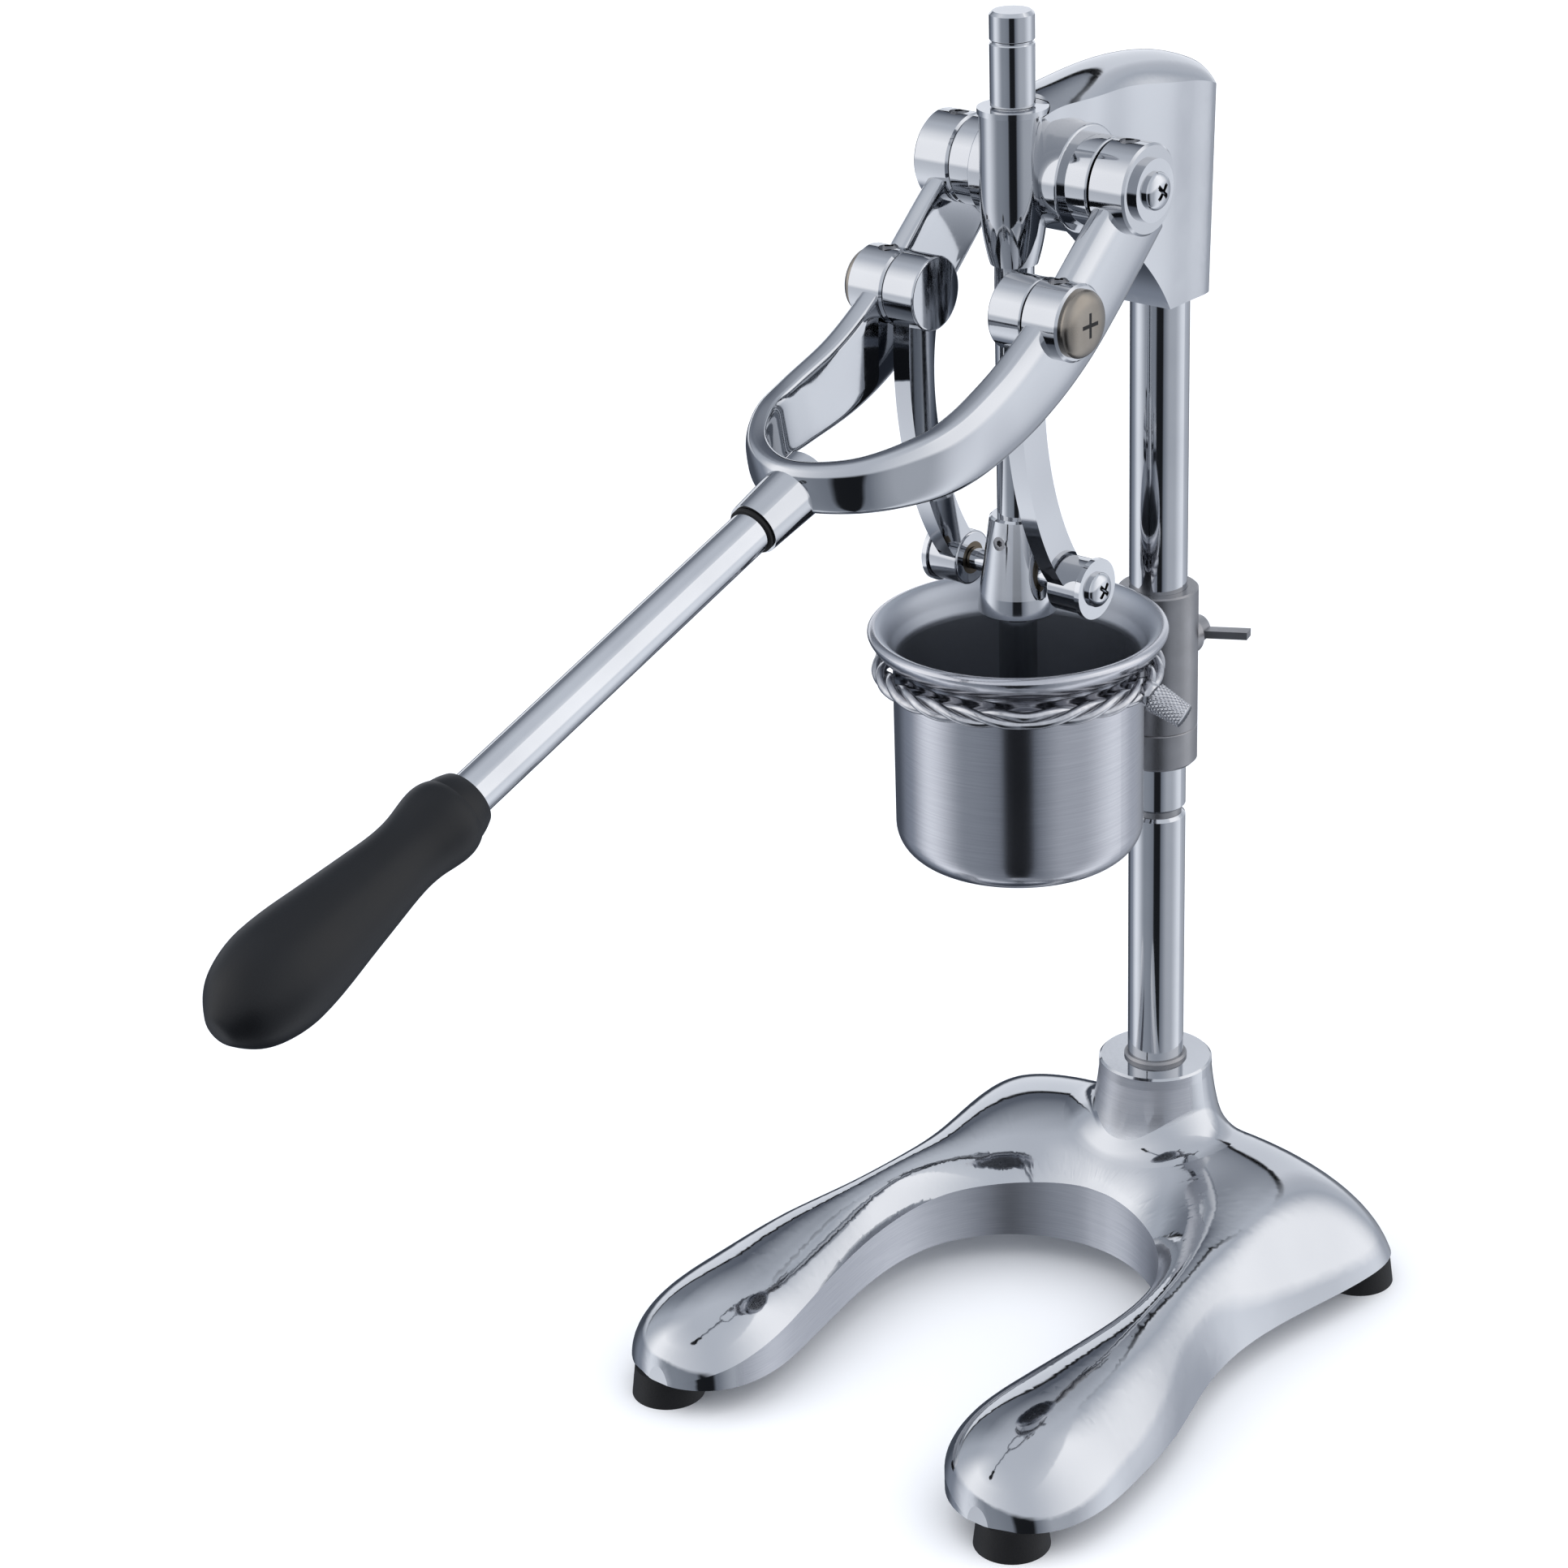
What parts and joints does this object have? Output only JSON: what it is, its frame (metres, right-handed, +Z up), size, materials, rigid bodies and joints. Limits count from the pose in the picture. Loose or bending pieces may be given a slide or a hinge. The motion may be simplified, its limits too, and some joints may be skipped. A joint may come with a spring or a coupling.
{
  "type": "manual lever press with piston cup",
  "caption": "Countertop hand-lever press: horseshoe base, chrome column, crowned head, forked lever with bowed links that push a piston rod into a steel cup with a holed die plate.",
  "frame": {"origin": "on the floor, on the axis of the column", "axes": "+Z up along the column, -Y to the front where the handle and the open legs point, +X to the right of someone standing in front and facing the press from the handle side towards the column"},
  "size_m": [0.2134, 0.5194, 0.519],
  "materials": {
    "polished_casting": "polished",
    "chrome_tube": "bright plated",
    "satin_steel": "satin",
    "cup_steel": "brushed",
    "bush_bronze": "plain turned",
    "foot_rubber": "matt",
    "grip_plastic": "fine moulded"
  },
  "bodies": {
    "stand": {"base_casting": "polished_casting", "foot_front_right": "foot_rubber", "foot_front_left": "foot_rubber", "foot_rear_right": "foot_rubber", "foot_rear_left": "foot_rubber", "foot_screws": "satin_steel", "lower_column": "chrome_tube", "upper_column": "chrome_tube", "column_spigot": "satin_steel", "column_plug": "satin_steel", "column_collar": "chrome_tube", "column_bolt": "satin_steel", "column_washer": "satin_steel", "head_casting": "polished_casting", "head_set_screws": "satin_steel", "guide_bush": "bush_bronze", "pivot_bushes": "bush_bronze"},
    "lever": {"fork_casting": "polished_casting", "fork_set_screws": "satin_steel", "pivot_shaft": "chrome_tube", "pivot_washers": "chrome_tube", "pivot_screws": "chrome_tube", "link_pins": "chrome_tube", "link_pin_caps": "satin_steel", "handle_tube": "chrome_tube", "handle_ring": "foot_rubber", "grip_collar": "grip_plastic", "grip": "grip_plastic"},
    "right_link": {"link_right": "polished_casting", "eye_bush_right": "bush_bronze", "eye_washer_right": "chrome_tube", "eye_screw_right": "chrome_tube"},
    "left_link": {"link_left": "polished_casting", "eye_bush_left": "bush_bronze", "eye_washer_left": "chrome_tube", "eye_screw_left": "chrome_tube"},
    "ram": {"press_rod": "chrome_tube", "rod_stop_sleeve": "chrome_tube", "rod_cap": "chrome_tube", "crosshead": "chrome_tube", "crosshead_set_screw": "satin_steel", "cross_shaft": "chrome_tube", "piston": "satin_steel", "piston_seal": "foot_rubber", "piston_nut": "satin_steel"},
    "carrier": {"carrier_sleeve": "satin_steel", "carrier_ring": "satin_steel", "cup": "cup_steel", "die_plate": "satin_steel"},
    "wing_bolt": {"wing_bolt": "satin_steel"},
    "clamp_screw": {"cup_clamp_screw": "satin_steel"}
  },
  "joints": [
    {"name": "handle_swing", "type": "hinge", "parent": "stand", "child": "lever", "pos_m": [0, -0.071, 0.4595], "axis": [-1, 0, 0], "range_deg": [0, 95]},
    {"name": "rod_slide", "type": "slide", "parent": "stand", "child": "ram", "axis": [0, 0, 1], "range_m": [0, 0.07901]},
    {"name": "right_link_swing", "type": "hinge", "parent": "lever", "child": "right_link", "pos_m": [0.023, -0.112, 0.423], "axis": [-1, 0, 0], "range_deg": [-90.62, 0]},
    {"name": "left_link_swing", "type": "hinge", "parent": "lever", "child": "left_link", "pos_m": [-0.023, -0.112, 0.423], "axis": [-1, 0, 0], "range_deg": [-90.62, 0]},
    {"name": "carrier_slide", "type": "slide", "parent": "stand", "child": "carrier", "axis": [0, 0, 1], "range_m": [-0.1, 0]},
    {"name": "wing_bolt_turn", "type": "hinge", "parent": "carrier", "child": "wing_bolt", "pos_m": [0, 0.02, 0.257], "axis": [0, 1, 0], "continuous": true},
    {"name": "clamp_screw_turn", "type": "hinge", "parent": "carrier", "child": "clamp_screw", "pos_m": [0.04886, -0.08029, 0.28], "axis": [0.9018, 0.1461, -0.4067], "continuous": true}
  ],
  "couplings": [
    {"joint": "rod_slide", "follows": "handle_swing", "m_per_rad": 0.047648},
    {"joint": "right_link_swing", "follows": "handle_swing", "ratio": -0.95341},
    {"joint": "left_link_swing", "follows": "handle_swing", "ratio": -0.95341}
  ]
}
